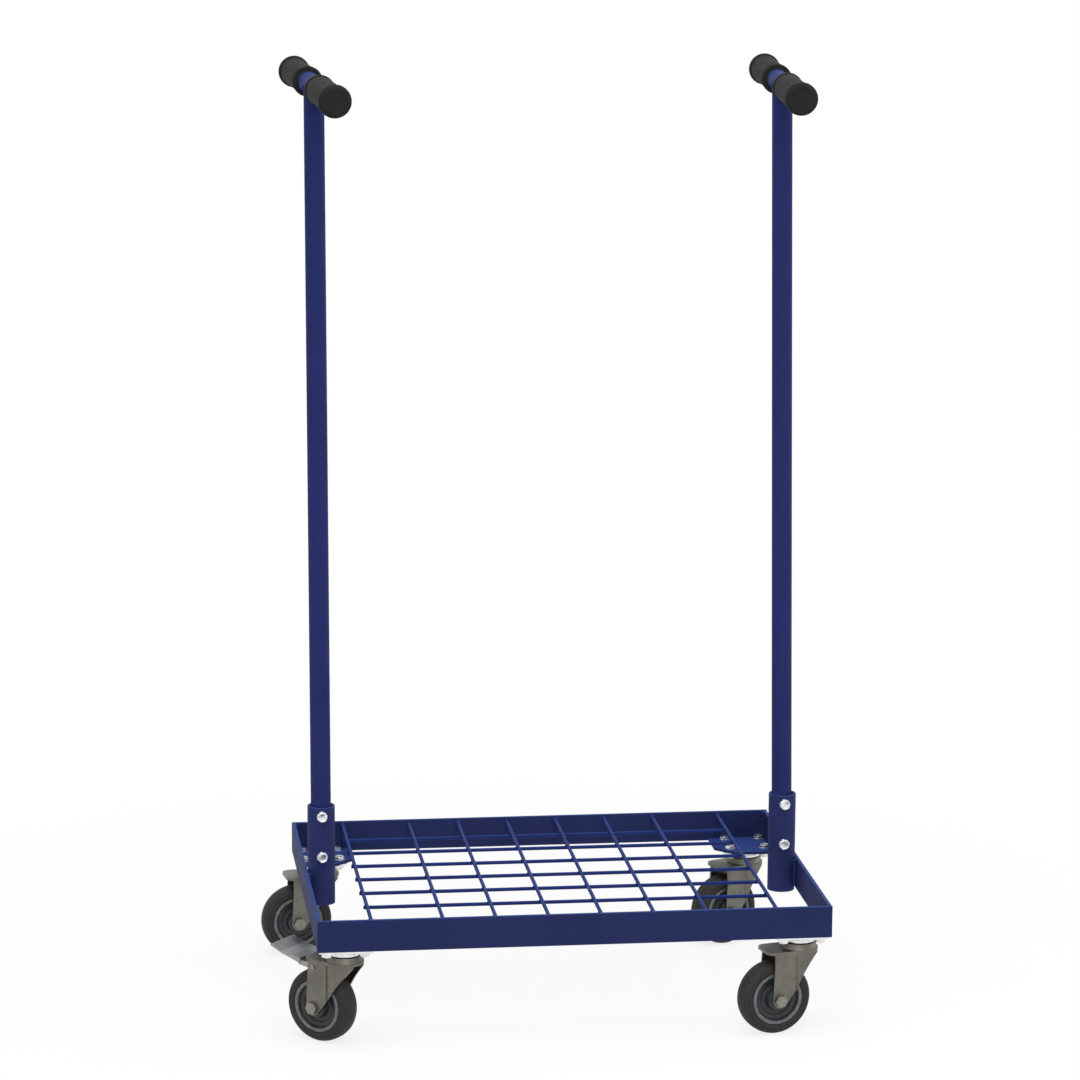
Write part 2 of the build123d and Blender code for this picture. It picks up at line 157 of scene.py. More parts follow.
def sprayed(name, blue, top_lit_blue, worn):
    """Satin blue paint, paler where it faces up as a painted highlight from the light above. worn gives the
    share of rubbed coat at a place.
    """
    coat = Coat(name)
    drift = coat.noise(11.0, 3.0).between(0.3, 0.7)
    cloud = coat.noise(60.0, 4.0).between(0.35, 0.75)
    peel = coat.noise(700.0, 1.0)
    grit = coat.noise(2600.0, 2.0).between(0.68, 0.78)
    body = coat.mixed(0.18 * drift, blue, deep_blue)
    # Painted light: faces turned up are mixed towards a paler blue, a painted highlight for light from above.
    top_light_share = coat.facing("Z").between(0.25, 0.95) * (0.70 + 0.30 * cloud)
    upper = coat.mixed(top_light_share, body, top_lit_blue)
    scuff = worn(coat) * coat.noise(420.0, 5.0).between(0.50, 0.66)
    paint = coat.mixed(scuff * 0.45 + grit * 0.06, upper, rubbed_blue)
    coat.done(
        Base_Color=paint,
        Roughness=0.58 + 0.10 * cloud + 0.10 * scuff,
        Normal=coat.relief(peel + 0.35 * grit, peel_depth),
        Specular_IOR_Level=0.08,
    )
    return coat


rail_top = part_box("front_rail")[1].z
rail_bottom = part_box("front_rail")[0].z
front_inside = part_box("front_rail")[1].y
rear_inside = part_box("rear_rail")[0].y
left_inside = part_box("left_rail")[1].x
right_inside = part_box("right_rail")[0].x
top_wear = 0.0016
bottom_wear = 0.0012
bare_edge = 0.0002


def rail_edges(coat):
    height = coat.along("Z")
    upper = height.between(rail_top - top_wear, rail_top - bare_edge)
    lower = height.between(rail_bottom + bottom_wear, rail_bottom)
    return upper + lower


# The paler blue that the frame's upward faces are mixed towards, a painted highlight.
frame_blue_lit_above = (0.026, 0.060, 0.235, 1.0)
rail_paint = sprayed("rail_paint", (0.0168, 0.0241, 0.0947, 1.0), frame_blue_lit_above, rail_edges)
rail_paint.on("front_rail", "rear_rail", "left_rail", "right_rail")
corner_names = ("front_left", "front_right", "rear_left", "rear_right")
rail_paint.on(*[f"{corner}_corner_plate" for corner in corner_names])


def seam_line(name, runs, closed=False):
    """A curve through each run of points, for a weld to follow."""
    line = bpy.data.curves.new(name, "CURVE")
    line.dimensions = "3D"
    for run in runs:
        spline = line.splines.new("POLY")
        spline.points.add(len(run) - 1)
        for point, spot in zip(spline.points, run):
            point.co = (*spot, 1.0)
        spline.use_cyclic_u = closed
    return line


def weld_tree():
    """Rippled weld metal: flattened beads strung along a seam."""
    tree = bpy.data.node_groups.new("weld_metal", "GeometryNodeTree")
    for name, kind in (("Seam", "Geometry"), ("Width", "Float"), ("Step", "Float"), ("Coat", "Material")):
        tree.interface.new_socket(name, in_out="INPUT", socket_type=f"NodeSocket{kind}")
    tree.interface.new_socket("Weld", in_out="OUTPUT", socket_type="NodeSocketGeometry")
    weld = Recipe(tree)
    seam = weld.add("NodeGroupInput", {}, {}, "Seam")
    width = weld.add("NodeGroupInput", {}, {}, "Width")
    step = weld.add("NodeGroupInput", {}, {}, "Step")
    coat = weld.add("NodeGroupInput", {}, {}, "Coat")
    spots = weld.add("GeometryNodeResampleCurve", {"mode": "LENGTH"}, {"Curve": seam, "Length": step})
    drop = weld.add("GeometryNodeMeshIcoSphere", {}, {"Radius": 1.0, "Subdivisions": 3})
    tangent = weld.add("GeometryNodeInputTangent", {}, {})
    turn = weld.add("FunctionNodeAlignRotationToVector", {"axis": "Z"}, {"Vector": tangent})
    # Inputs 2, 3 and 8 of the node are its smallest and largest number and its seed
    swell = weld.add("FunctionNodeRandomValue", {"data_type": "FLOAT"}, {2: 0.44, 3: 0.56, 8: 5}, 1)
    overlap = 1.1
    size = weld.add("ShaderNodeCombineXYZ", {}, {"X": width * swell, "Y": width * swell, "Z": step * overlap})
    beads = weld.add(
        "GeometryNodeInstanceOnPoints", {},
        {"Points": spots, "Instance": drop, "Rotation": turn, "Scale": size},
    )
    solid = weld.add("GeometryNodeRealizeInstances", {}, {"Geometry": beads})
    smooth = weld.add("GeometryNodeSetShadeSmooth", {}, {"Geometry": solid})
    coated = weld.add("GeometryNodeSetMaterial", {}, {"Geometry": smooth, "Material": coat})
    weld.add("NodeGroupOutput", {}, {"Weld": coated})
    return tree


def grown(name, source, tree, **sizes):
    """The plain mesh that a node tree makes from a curve or mesh, as an object at the origin."""
    start = bpy.data.objects.new(f"{name}_start", source)
    bpy.context.scene.collection.objects.link(start)
    growth = start.modifiers.new("growth", "NODES")
    growth.node_group = tree
    for item in tree.interface.items_tree:
        if item.in_out == "INPUT" and item.name in sizes:
            growth[item.identifier] = sizes[item.name]
    ready = start.evaluated_get(bpy.context.evaluated_depsgraph_get())
    mesh = bpy.data.meshes.new_from_object(ready)
    start.modifiers.remove(growth)
    bpy.data.objects.remove(start)
    mesh.name = name
    piece = bpy.data.objects.new(name, mesh)
    bpy.context.scene.collection.objects.link(piece)
    return piece


weld_foot = rail_bottom + 0.004


def upright_seam(x, y, top):
    """A seam inside the frame, from just above the foot of the rails up to its top."""
    return [Vector((x, y, weld_foot)), Vector((x, y, top))]


weld_metal = weld_tree()
weld_proud = 0.0004
corner_weld_top = rail_top - 0.0025
corner_seams = []
for across, inside_x in ((1, left_inside), (-1, right_inside)):
    for inward, inside_y in ((1, front_inside), (-1, rear_inside)):
        seam_x = inside_x + across * weld_proud
        seam_y = inside_y + inward * weld_proud
        corner_seams.append(upright_seam(seam_x, seam_y, corner_weld_top))
corner_welds = grown(
    "corner_welds", seam_line("corner_seams", corner_seams), weld_metal,
    Width=0.0046, Step=0.0014, Coat=rail_paint.material,
)
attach(corner_welds, "chassis")


# Wire deck: straight round wires spot-welded where they cross, their long ends welded to
# the inner faces of the front and rear rails. It is sprayed together with the frame.
wire_radius = 0.002
inner_wire_count = 6
inner_wire_pitch = 0.0564
outer_wire_pitch = 0.076
cross_wire_count = 7


def wire_wear(coat):
    return coat.facing("Z").between(0.80, 0.99)


wire_paint = sprayed("wire_paint", (0.0110, 0.0240, 0.1350, 1.0), (0.016, 0.038, 0.185, 1.0), wire_wear)
wire_paint.on("deck_long_wires", "deck_cross_wires")

deck_low, deck_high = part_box("deck_cross_wires")
deck_middle = (deck_low.x + deck_high.x) / 2
crossing_height = deck_high.z
last_inner = (inner_wire_count - 1) / 2 * inner_wire_pitch
wire_lines = [count * inner_wire_pitch - last_inner for count in range(inner_wire_count)]
wire_lines += [-last_inner - outer_wire_pitch, last_inner + outer_wire_pitch]
cross_wire_pitch = (deck_high.y - deck_low.y - 2 * wire_radius) / (cross_wire_count - 1)
cross_lines = [deck_low.y + wire_radius + count * cross_wire_pitch for count in range(cross_wire_count)]


def nugget_tree():
    """Spot welds: a flattened drop of metal at each point of a mesh."""
    tree = bpy.data.node_groups.new("spot_welds", "GeometryNodeTree")
    for name, kind in (("Spots", "Geometry"), ("Size", "Vector"), ("Coat", "Material")):
        tree.interface.new_socket(name, in_out="INPUT", socket_type=f"NodeSocket{kind}")
    tree.interface.new_socket("Welds", in_out="OUTPUT", socket_type="NodeSocketGeometry")
    weld = Recipe(tree)
    spots = weld.add("NodeGroupInput", {}, {}, "Spots")
    size = weld.add("NodeGroupInput", {}, {}, "Size")
    coat = weld.add("NodeGroupInput", {}, {}, "Coat")
    drop = weld.add("GeometryNodeMeshIcoSphere", {}, {"Radius": 1.0, "Subdivisions": 3})
    spread = weld.add("FunctionNodeRandomValue", {"data_type": "FLOAT"}, {2: 0.85, 3: 1.15, 8: 9}, 1)
    uneven = weld.add("ShaderNodeVectorMath", {"operation": "SCALE"}, {0: size, "Scale": spread})
    drops = weld.add("GeometryNodeInstanceOnPoints", {}, {"Points": spots, "Instance": drop, "Scale": uneven})
    solid = weld.add("GeometryNodeRealizeInstances", {}, {"Geometry": drops})
    smooth = weld.add("GeometryNodeSetShadeSmooth", {}, {"Geometry": solid})
    coated = weld.add("GeometryNodeSetMaterial", {}, {"Geometry": smooth, "Material": coat})
    weld.add("NodeGroupOutput", {}, {"Welds": coated})
    return tree


def spots_mesh(name, spots):
    mesh = bpy.data.meshes.new(name)
    mesh.from_pydata([tuple(spot) for spot in spots], [], [])
    return mesh


spot_welds = nugget_tree()
crossings = [(deck_middle + line, cross, crossing_height) for line in wire_lines for cross in cross_lines]
crossing_welds = grown(
    "crossing_welds", spots_mesh("crossings", crossings), spot_welds,
    Size=(0.0026, 0.0026, 0.0017), Coat=wire_paint.material,
)
wire_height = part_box("deck_long_wires")[1].z - wire_radius
rail_faces = (front_inside, rear_inside)
wire_ends = [(deck_middle + line, face, wire_height) for line in wire_lines for face in rail_faces]
wire_end_welds = grown(
    "wire_end_welds", spots_mesh("wire_ends", wire_ends), spot_welds,
    Size=(0.0036, 0.0028, 0.0032), Coat=wire_paint.material,
)
for welds in (crossing_welds, wire_end_welds):
    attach(welds, "chassis")


# Handle sockets: short lengths of thick tube welded upright inside the side rails. Two
# bright zinc hex screws in the front of each one press on the post that stands in it.
socket_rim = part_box("left_socket")[1].z
rim_wear = 0.0022
bare_rim = 0.0004


def socket_wear(coat):
    return coat.along("Z").between(socket_rim - rim_wear, socket_rim - bare_rim)


# Painted light: the sockets' blue is the frame blue made about a quarter lighter, to lift the shade on them.
socket_paint = sprayed("socket_paint", (0.0215, 0.0300, 0.1170, 1.0), frame_blue_lit_above, socket_wear)
socket_paint.on("left_socket", "right_socket")

socket_weld_inset = 0.0015
socket_weld_spread = 0.0074
socket_weld_top = rail_top - 0.003
socket_seams = []
for end, rail_face, inward in (("left", left_inside, 1), ("right", right_inside, -1)):
    low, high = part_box(f"{end}_socket")
    middle = (low.y + high.y) / 2
    for way in (-1, 1):
        seam_x = rail_face + inward * socket_weld_inset
        seam_y = middle + way * socket_weld_spread
        socket_seams.append(upright_seam(seam_x, seam_y, socket_weld_top))
socket_welds = grown(
    "socket_welds", seam_line("socket_seams", socket_seams), weld_metal,
    Width=0.0056, Step=0.0015, Coat=socket_paint.material,
)
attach(socket_welds, "chassis")


# A brown for real grime, also used for the painted shade along the fork bends.
dirt_and_shade_brown = (0.05, 0.047, 0.04, 1.0)


def zinc_plate(name, bright, dull, low_rough, high_rough, painted_shade=None):
    """Zinc plate over steel: faint spangle, drawing lines, dull clouded patches, dirt with any painted shade
    passed in, and a painted highlight on faces turned up.
    """
    coat = Coat(name)
    cell = coat.add("ShaderNodeTexVoronoi", {}, {"Vector": coat.place, "Scale": 420.0}, "Color")
    spangle = coat.add("ShaderNodeSeparateXYZ", {}, {"Vector": cell}, "X")
    lines = coat.noise(900.0, 3.0, (1.0, 1.0, 0.06))
    haze = coat.noise(70.0, 4.0).between(0.35, 0.70)
    grime = coat.noise(240.0, 5.0).between(0.58, 0.80)
    # The noise is real grime; a castor fork also gets painted shade along its bend here.
    dirt_and_shade = 0.5 * grime + painted_shade(coat) if painted_shade else 0.5 * grime
    plated = coat.mixed(0.25 * spangle + 0.45 * haze, bright, dull)
    # Painted highlight: faces turned up are mixed towards the bright zinc, standing in for the light from
    # above.
    plated_top_lit = coat.mixed(coat.facing("Z").between(0.55, 0.97), plated, bright)
    coat.done(
        Base_Color=coat.mixed(dirt_and_shade, plated_top_lit, dirt_and_shade_brown),
        Metallic=1.0 - 0.35 * grime,
        Roughness=low_rough + (high_rough - low_rough) * (0.6 * haze + 0.4 * lines),
        Normal=coat.relief(lines + 0.3 * spangle, 0.00002),
    )
    return coat


bright_zinc = zinc_plate("bright_zinc", (0.86, 0.87, 0.88, 1.0), (0.66, 0.67, 0.68, 1.0), 0.22, 0.42)


def lathe(name, rings, start, way, turns):
    """A turned shape: rings of (distance along the axis, radius), or a radius for each angle."""
    shape = bmesh.new()
    across = way.orthogonal().normalized()
    upright = way.cross(across).normalized()
    loops = []
    for along, radius in rings:
        middle = start + way * along
        if not callable(radius) and radius == 0.0:
            loops.append([shape.verts.new(middle)])
            continue
        loop = []
        for count in range(turns):
            angle = 2 * pi * count / turns
            reach = radius(angle) if callable(radius) else radius
            outward = across * (reach * cos(angle)) + upright * (reach * sin(angle))
            loop.append(shape.verts.new(middle + outward))
        loops.append(loop)
    for first, second in zip(loops, loops[1:]):
        for count in range(turns if len(first) + len(second) > 2 else 0):
            after = (count + 1) % turns
            corners = [first[count % len(first)], first[after % len(first)]]
            corners += [second[after % len(second)], second[count % len(second)]]
            shape.faces.new(list(dict.fromkeys(corners)))
    bmesh.ops.remove_doubles(shape, verts=shape.verts, dist=0.000001)
    bmesh.ops.recalc_face_normals(shape, faces=shape.faces)
    for face in shape.faces:
        face.smooth = True
    mesh = bpy.data.meshes.new(name)
    shape.to_mesh(mesh)
    shape.free()
    mesh.set_sharp_from_angle(angle=radians(35))
    return mesh


def hexagon(flats):
    """Radius of a hexagon at an angle, for a spanner across its flats."""
    return lambda angle: flats / 2 / cos((angle + pi / 6) % (pi / 3) - pi / 6)


def hex_head(flats, height, washer, thickness):
    """Rings of a hex head over a washer, from the seat outwards, with its corners turned off."""
    side = hexagon(flats)
    edge = 0.0003
    chamfer = 0.0009

    def rounded(angle):
        return min(side(angle), 0.505 * flats + 0.0002)

    return [
        (0.0, 0.0), (0.0, washer), (0.85 * thickness, washer), (thickness, washer - edge),
        (thickness, 0.47 * flats), (thickness + edge, side), (height - chamfer, side),
        (height - edge, rounded), (height, 0.44 * flats), (height - edge, 0.36 * flats),
        (height - edge, 0.0),
    ]


def copies_tree():
    """One made piece set down at each point of a mesh, all the same way up."""
    tree = bpy.data.node_groups.new("fastener_copies", "GeometryNodeTree")
    for name, kind in (("Spots", "Geometry"), ("Fastener", "Object"), ("Coat", "Material")):
        tree.interface.new_socket(name, in_out="INPUT", socket_type=f"NodeSocket{kind}")
    tree.interface.new_socket("Fasteners", in_out="OUTPUT", socket_type="NodeSocketGeometry")
    row = Recipe(tree)
    spots = row.add("NodeGroupInput", {}, {}, "Spots")
    piece = row.add("NodeGroupInput", {}, {}, "Fastener")
    coat = row.add("NodeGroupInput", {}, {}, "Coat")
    shape = row.add("GeometryNodeObjectInfo", {}, {"Object": piece}, "Geometry")
    set_down = row.add("GeometryNodeInstanceOnPoints", {}, {"Points": spots, "Instance": shape})
    solid = row.add("GeometryNodeRealizeInstances", {}, {"Geometry": set_down})
    coated = row.add("GeometryNodeSetMaterial", {}, {"Geometry": solid, "Material": coat})
    row.add("NodeGroupOutput", {}, {"Fasteners": coated})
    return tree


def fasteners(name, mesh, spots, coat):
    """Copies of one fastener at each spot, as a single piece."""
    pattern = bpy.data.objects.new(f"{name}_pattern", mesh)
    bpy.context.scene.collection.objects.link(pattern)
    places = spots_mesh(f"{name}_spots", spots)
    row = grown(name, places, fastener_copies, Fastener=pattern, Coat=coat.material)
    bpy.data.objects.remove(pattern)
    return row


fastener_copies = copies_tree()
fastener_turns = 48
screw_flats = 0.0105
screw_radius = 0.00295
screw_shank = [(-0.0030, 0.0), (-0.0030, 0.0026), (-0.0026, screw_radius), (0.0, screw_radius)]
screw_head = hex_head(flats=screw_flats, height=0.0044, washer=0.0056, thickness=0.0007)
screw_rings = screw_shank + screw_head[1:]
forwards = Vector((0, -1, 0))
screw_mesh = lathe("clamp_screw", screw_rings, Vector((0, 0, 0)), forwards, fastener_turns)
for end in ("left", "right"):
    low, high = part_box(f"{end}_clamp_screws")
    socket_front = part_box(f"{end}_socket")[0].y
    heights = (low.z + screw_flats / 2, high.z - screw_flats / 2)
    spots = [((low.x + high.x) / 2, socket_front, height) for height in heights]
    screws = fasteners(f"{end}_screws", screw_mesh, spots, bright_zinc)
    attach(screws, "chassis")
    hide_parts(f"{end}_clamp_screws")


# Push handles: an upright tube standing in each socket, with a cross tube coped over and
# welded to its top. Both are sprayed the same blue as the frame.
post_wear_top = socket_rim + 0.012
post_wear_full = socket_rim + 0.001


def post_wear(coat):
    return 0.4 * coat.along("Z").between(post_wear_top, post_wear_full)


post_paint = sprayed("post_paint", (0.0168, 0.0241, 0.1225, 1.0), (0.010, 0.028, 0.125, 1.0), post_wear)
post_paint.on("left_post", "right_post", "left_crossbar", "right_crossbar")

tube_radius = 0.011
handle_turn = {"left": radians(2.9), "right": radians(-3.9)}
saddle_radius = tube_radius * 1.02
saddle_points = 72
bar_middle = {}
bar_way = {}
for end in ("left", "right"):
    low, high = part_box(f"{end}_crossbar")
    middle = (low + high) / 2
    post_way = Vector(joints[f"{end}_handle_lift"]["axis"])
    side_way = Vector((cos(handle_turn[end]), sin(handle_turn[end]), 0.0))
    rear_way = post_way.cross(side_way).normalized()
    side_way = rear_way.cross(post_way)
    bar_middle[end] = middle
    bar_way[end] = rear_way
    saddle = []
    for count in range(saddle_points):
        angle = 2 * pi * count / saddle_points
        around = side_way * cos(angle) + rear_way * sin(angle)
        saddle.append(middle + (around - post_way * abs(sin(angle))) * saddle_radius)
    handle_weld = grown(
        f"{end}_handle_weld", seam_line(f"{end}_saddle", [saddle], closed=True), weld_metal,
        Width=0.0030, Step=0.0011, Coat=post_paint.material,
    )
    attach(handle_weld, f"{end}_handle")


# Grips: black moulded sleeves pushed over the ends of the cross tube. Each has a collar at
# its inner end, a slimmer finely fluted body and a thicker rounded flange closing its end.
grip_start = 0.050
grip_end = 0.180
grip_bore = 0.01105

grip_black = Coat("grip_black")
pebble = grip_black.add("ShaderNodeTexVoronoi", {}, {"Vector": grip_black.place, "Scale": 1500.0}, "Distance")
rubbed = grip_black.noise(90.0, 4.0).between(0.40, 0.72)
bloom = grip_black.noise(340.0, 3.0).between(0.45, 0.80)
grip_black.done(
    Base_Color=grip_black.mixed(
        0.5 * bloom + 0.3 * rubbed, (0.0140, 0.0140, 0.0132, 1.0), (0.0215, 0.0215, 0.0196, 1.0)
    ),
    Roughness=0.74 + 0.12 * bloom - 0.06 * rubbed,
    Normal=grip_black.relief(pebble, 0.00004),
    Specular_IOR_Level=0.10,
)


def placed(name, mesh, coat):
    """A finished mesh, set down in the scene with its coat."""
    mesh.materials.append(coat.material)
    piece = bpy.data.objects.new(name, mesh)
    bpy.context.scene.collection.objects.link(piece)
    return piece


def fluted(radius, depth, count):
    """A radius with shallow round-bottomed flutes cut into it."""
    return lambda angle: radius - depth * max(0.0, cos(angle * count)) ** 2


body = fluted(radius=0.0152, depth=0.00018, count=40)
collar_rings = [
    (grip_start, grip_bore), (grip_start, 0.0156), (0.0504, 0.01610), (0.0512, 0.01625),
    (0.0542, 0.01625), (0.0550, 0.01610), (0.0560, 0.0152), (0.0572, 0.0146), (0.0590, 0.0145),
]
body_rings = [(along, body) for along in (0.0610, 0.0800, 0.1000, 0.1200, 0.1400, 0.1600, 0.1660)]
flange_rings = [
    (0.1676, 0.0145), (0.1690, 0.0150), (0.1700, 0.0162), (0.1712, 0.0170), (0.1726, 0.01725),
    (0.1755, 0.01725), (0.1772, 0.0169), (0.1786, 0.0160), (0.1795, 0.0146),
    (grip_end - 0.0001, 0.0128), (grip_end - 0.0001, 0.0116), (0.1795, 0.0112), (0.1795, 0.0),
]
bore_rings = [(0.1752, 0.0), (0.1752, grip_bore), (grip_start, grip_bore)]
grip_rings = collar_rings + body_rings + flange_rings + bore_rings
for end in ("left", "right"):
    for place, way in (("rear", bar_way[end]), ("front", -bar_way[end])):
        name = f"{end}_{place}_sleeve"
        sleeve = placed(name, lathe(name, grip_rings, bar_middle[end], way, turns=96), grip_black)
        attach(sleeve, f"{end}_handle")
        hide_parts(f"{end}_{place}_grip")


# Castor plates and bolts: a square zinc plate under each corner, held by four bright bolts
# with washers, heads on top of the corner plate and nuts below.
for corner in corner_names:
    bright_zinc.on(f"{corner}_castor_plate", f"{corner}_kingpin", f"{corner}_swivel_bearing")

bolt_pitch = 0.040
bolt_flats = 0.010
washer_radius = 0.0062
washer_thickness = 0.0008
head_height = 0.0040
nut_height = 0.0050
bolt_end = 0.0060
thread_pitch = 0.00033
thread_flank = 0.00017
thread_crest = 0.0030
thread_root = 0.0026
thread_tip = 0.0024
bolt_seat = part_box("front_left_corner_plate")[1].z
plate_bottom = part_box("castor_nuts")[1].z
bolt_spots = []
for corner in corner_names:
    low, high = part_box(f"{corner}_kingpin")
    middle = (low + high) / 2
    for across in (-0.5, 0.5):
        for deep in (-0.5, 0.5):
            bolt_spots.append((middle.x + across * bolt_pitch, middle.y + deep * bolt_pitch, 0.0))

up = Vector((0, 0, 1))
head_rings = hex_head(bolt_flats, head_height, washer_radius, washer_thickness)
head_mesh = lathe("bolt_head", head_rings, up * bolt_seat, up, fastener_turns)
thread = []
for turn in range(3):
    crest = nut_height + turn * thread_pitch
    thread += [(crest, thread_crest), (crest + thread_flank, thread_root)]
# The first nine rings end at the nut's face, where the thread comes through
nut_face = hex_head(bolt_flats, nut_height, washer_radius, washer_thickness)[:9]
nut_rings = nut_face + thread + [(bolt_end, thread_tip), (bolt_end, 0.0)]
nut_mesh = lathe("bolt_nut", nut_rings, up * plate_bottom, -up, fastener_turns)
for name, mesh, node in (
    ("corner_bolts", head_mesh, "castor_bolts"),
    ("corner_nuts", nut_mesh, "castor_nuts"),
):
    row = fasteners(name, mesh, bolt_spots, bright_zinc)
    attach(row, "chassis")
    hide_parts(node)


# Castor forks: pressed zinc-plated steel, dull with a yellowish cast, that swivels under the
# plate on a ball race. Each leg is bent inwards along an upright line, darkened with painted shade
# along the bend and over the part bent in.
# An axle bolt with a plain bush carries the wheel between the legs.
leg_bend = 0.010
crown_depth = 0.009
# Strength of the painted shade along each fork's bend, and of the thinner painted shade over the part bent
# in.
bend_shade = {"front_left": 0.75, "front_right": 0.35, "rear_left": 0.35, "rear_right": 0.35}
bent_face_shade = 0.08
line_behind = 0.0020
line_ahead = 0.0024
film_edge = 0.0010


def bend_line(corner):
    """Painted shade along the bend of a castor's legs, and a thin film of it over the part bent in."""
    swivel = Vector(joints[f"{corner}_swivel"]["pos_m"])
    trailing = Vector(joints[f"{corner}_spin"]["pos_m"]) - swivel
    trailing.z = 0.0
    trailing.normalize()
    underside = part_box(f"{corner}_fork")[1].z - crown_depth

    def painted_shade(coat):
        product = {"operation": "DOT_PRODUCT"}
        back = coat.add("ShaderNodeVectorMath", product, {0: coat.place, 1: trailing}, "Value")
        past_bend = swivel.dot(trailing) + leg_bend - back
        line = past_bend.between(-line_behind, 0.0) * past_bend.between(line_ahead, 0.0)
        film = past_bend.between(0.0, film_edge)
        leg = coat.along("Z").between(underside, underside - film_edge)
        return (bend_shade[corner] * line + bent_face_shade * film) * leg

    return painted_shade


axle_zinc = zinc_plate("axle_zinc", (0.27, 0.265, 0.245, 1.0), (0.17, 0.165, 0.148, 1.0), 0.28, 0.48)
fork_pale = (0.185, 0.180, 0.158, 1.0)
fork_dull = (0.125, 0.118, 0.098, 1.0)
for corner in corner_names:
    fork_zinc = zinc_plate(f"{corner}_fork_zinc", fork_pale, fork_dull, 0.34, 0.52, bend_line(corner))
    fork_zinc.on(f"{corner}_fork")
    axle_zinc.on(f"{corner}_axle_bolt", f"{corner}_axle_bush")


# Wheels: a dark grey moulded hub, dished in turned steps between its boss and rim, a pale lip
# along each edge of the rim, pale partly as a painted highlight, and a dark rubber tyre with rounded
# shoulders and a moulding line.
rim_radius = 0.0285

tyre_rubber = Coat("tyre_rubber")
scrub = tyre_rubber.noise(120.0, 5.0).between(0.38, 0.74)
pores = tyre_rubber.noise(1400.0, 2.0)
tyre_rubber.done(
    Base_Color=tyre_rubber.mixed(scrub, (0.0150, 0.0145, 0.0132, 1.0), (0.028, 0.0265, 0.0232, 1.0)),
    Roughness=0.66 + 0.16 * scrub,
    Normal=tyre_rubber.relief(pores, 0.00006),
    Specular_IOR_Level=0.35,
)

hub_grey = Coat("hub_grey")
mould = hub_grey.noise(160.0, 3.0).between(0.35, 0.70)
grain = hub_grey.noise(1900.0, 1.0)
hub_grey.done(
    Base_Color=hub_grey.mixed(mould, (0.022, 0.026, 0.029, 1.0), (0.031, 0.036, 0.040, 1.0)),
    Roughness=0.40 + 0.14 * mould,
    Normal=hub_grey.relief(grain, 0.00003),
    Specular_IOR_Level=0.40,
)

# The lips' pale grey is partly their own colour and partly a painted highlight for the light the rim edges
# catch.
lip_grey = Coat("lip_grey")
rub = lip_grey.noise(200.0, 4.0).between(0.35, 0.72)
lip_grey.done(
    Base_Color=lip_grey.mixed(rub, (0.085, 0.098, 0.103, 1.0), (0.150, 0.163, 0.165, 1.0)),
    Roughness=0.34 + 0.16 * rub,
    Normal=lip_grey.relief(lip_grey.noise(1500.0, 1.0), 0.00002),
)


def far_side(rings):
    """A profile drawn on the near side of the wheel, as it is on the other."""
    return [(-along, radius) for along, radius in rings]


tyre_half_rings = [
    (0.0000, 0.0400), (0.0006, 0.0400), (0.0009, 0.03985), (0.0050, 0.03975), (0.0074, 0.0392),
    (0.0094, 0.0381), (0.0109, 0.0365), (0.0118, 0.0348), (0.0119, 0.0342), (0.0116, 0.0339),
    (0.0120, 0.0335), (0.0124, 0.0325), (0.0125, 0.0312), (0.0122, 0.0299), (0.0114, 0.0290),
    (0.0106, rim_radius),
]
tyre_rings = tyre_half_rings[::-1] + far_side(tyre_half_rings[1:]) + tyre_half_rings[-1:]
hub_half_rings = [
    (0.0108, rim_radius), (0.0108, 0.0246), (0.0104, 0.0241), (0.0086, 0.0236), (0.0074, 0.0228),
    (0.0070, 0.0218), (0.0070, 0.0190), (0.0066, 0.0185), (0.0058, 0.0182), (0.0055, 0.0176),
    (0.0055, 0.0142), (0.0058, 0.0134), (0.0068, 0.0127), (0.0090, 0.0122), (0.0142, 0.0119),
    (0.0148, 0.0116), (0.0150, 0.0110), (0.0150, 0.0072), (0.0146, 0.00606),
]
hub_rings = hub_half_rings + far_side(hub_half_rings[::-1]) + hub_half_rings[:1]
lip_rings = [
    (0.0104, 0.0250), (0.0110, 0.0246), (0.0117, 0.0249), (0.0121, 0.0257), (0.0121, 0.0272),
    (0.0118, 0.0281), (0.0112, rim_radius), (0.0104, rim_radius), (0.0104, 0.0250),
]
for corner in corner_names:
    spin = joints[f"{corner}_spin"]
    axle = Vector(spin["pos_m"])
    way = Vector(spin["axis"])
    name = f"{corner}_tread"
    tread = placed(name, lathe(name, tyre_rings, axle, way, turns=128), tyre_rubber)
    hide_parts(f"{corner}_tyre")
    name = f"{corner}_hub"
    hub = placed(name, lathe(name, hub_rings, axle, way, turns=96), hub_grey)
    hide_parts(f"{corner}_wheel_hub")
    lips = []
    for side, rings in (("near", lip_rings), ("far", far_side(lip_rings))):
        name = f"{corner}_{side}_lip"
        lip = placed(name, lathe(name, rings, axle, way, turns=128), lip_grey)
        lips.append(lip)
    for piece in (tread, hub, *lips):
        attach(piece, f"{corner}_wheel")


# Foot brake: a pressed pedal on the front left castor, straddling the fork on a pin, with a
# shoe that comes down on the tyre. It is plated like the fork and rubbed brighter in use.
rubbed_zinc = zinc_plate("rubbed_zinc", (0.36, 0.36, 0.35, 1.0), (0.20, 0.20, 0.19, 1.0), 0.30, 0.50)
rubbed_zinc.on("brake_pedal")
axle_zinc.on("brake_pin")


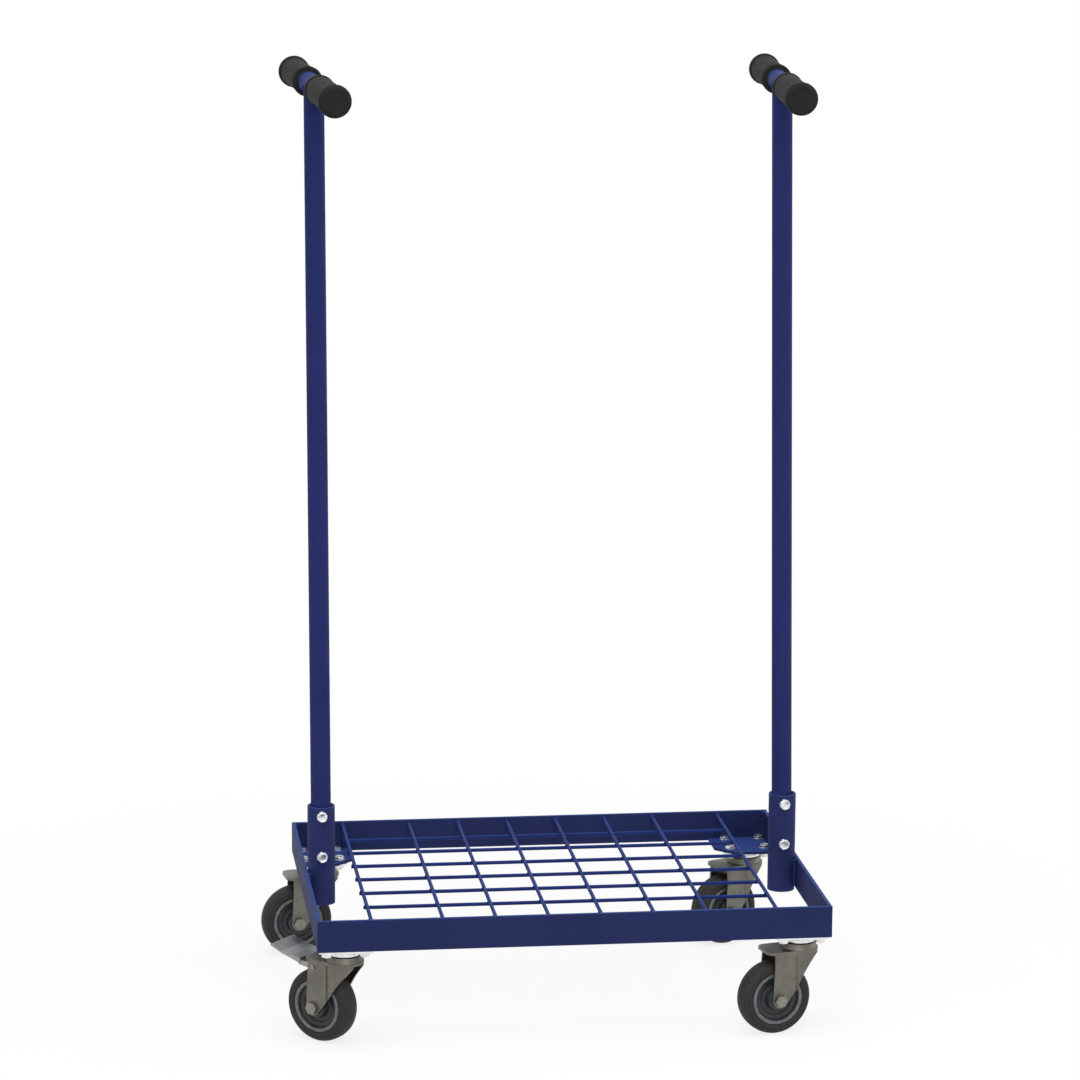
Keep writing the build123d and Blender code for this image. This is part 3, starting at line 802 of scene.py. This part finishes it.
# Stage: a plain white floor under soft light from above, in front and one side, and the camera
# at standing eye height, in front of the cart and a little to its left.
edge = 60
floor_corners = [(-edge, -edge, 0), (edge, -edge, 0), (edge, edge, 0), (-edge, edge, 0)]
floor_mesh = bpy.data.meshes.new("floor")
floor_mesh.from_pydata(floor_corners, [], [(0, 1, 2, 3)])
floor = bpy.data.objects.new("floor", floor_mesh)
bpy.context.scene.collection.objects.link(floor)
floor_material = bpy.data.materials.new("floor_white")
floor_material.use_nodes = True
floor_mesh.materials.append(floor_material)
floor_white = Recipe(floor_material.node_tree)
floor_white.tree.nodes.clear()
seen = floor_white.add("ShaderNodeLightPath", {}, {}, "Is Camera Ray")
mirrored_ray = floor_white.add("ShaderNodeLightPath", {}, {}, "Is Glossy Ray")
spot = floor_white.add("ShaderNodeTexCoord", {}, {}, "Object")
distance = floor_white.add("ShaderNodeVectorMath", {"operation": "LENGTH"}, {0: spot}, "Value")
away = distance.between(0.40, 1.10)
matt = floor_white.add("ShaderNodeBsdfDiffuse", {}, {"Color": (0.90, 0.90, 0.90, 1.0)})
glow = floor_white.add("ShaderNodeEmission", {}, {"Color": (1.0, 1.0, 1.0, 1.0), "Strength": 1.0})
share = (seen + mirrored_ray) * (0.80 + 0.20 * away)
shown = floor_white.add("ShaderNodeMixShader", {}, {0: share, 1: matt, 2: glow})
floor_white.add("ShaderNodeOutputMaterial", {}, {"Surface": shown})

world = bpy.data.worlds.new("studio")
bpy.context.scene.world = world
world.use_nodes = True
sky = Recipe(world.node_tree)
sky.tree.nodes.clear()
seen = sky.add("ShaderNodeLightPath", {}, {}, "Is Camera Ray")
mirrored_ray = sky.add("ShaderNodeLightPath", {}, {}, "Is Glossy Ray")
through = sky.add("ShaderNodeLightPath", {}, {}, "Is Transmission Ray")
plain = (seen + mirrored_ray + through).between(0.0, 1.0)
room = sky.add("ShaderNodeBackground", {}, {"Color": (1.0, 1.0, 1.0, 1.0), "Strength": 0.55 + 0.45 * plain})
sky.add("ShaderNodeOutputWorld", {}, {"Surface": room})

for name, spot, aim, size, power in (
    ("top_light", (-0.2, -1.0, 3.2), (0.0, 0.0, 0.3), 2.4, 62.0),
    ("front_light", (-0.2, -3.8, 2.2), (0.0, 0.0, 0.5), 2.0, 30.0),
    ("side_light", (3.0, 0.4, 1.4), (0.0, 0.0, 0.5), 2.0, 16.0),
):
    lamp = bpy.data.lights.new(name, "AREA")
    lamp.shape = "SQUARE"
    lamp.size = size
    lamp.energy = power
    lamp.color = (1.0, 0.99, 0.97)
    light = bpy.data.objects.new(name, lamp)
    light.location = spot
    light.rotation_euler = (Vector(aim) - Vector(spot)).to_track_quat("-Z", "Y").to_euler()
    bpy.context.scene.collection.objects.link(light)

camera = bpy.data.cameras.new("camera")
camera.sensor_width = 36.0
camera.lens = 140.1
camera.clip_end = 200.0
eye = bpy.data.objects.new("camera", camera)
eye.location = (-0.5596, -4.4415, 1.411)
look_down = radians(11.39)
look_right = radians(7.25)
roll = Matrix.Rotation(radians(0.35), 3, "Z")
eye.rotation_euler = (Euler((pi / 2 - look_down, 0.0, -look_right)).to_matrix() @ roll).to_euler()
bpy.context.scene.collection.objects.link(eye)
bpy.context.scene.camera = eye
bpy.context.scene.view_settings.view_transform = "Standard"
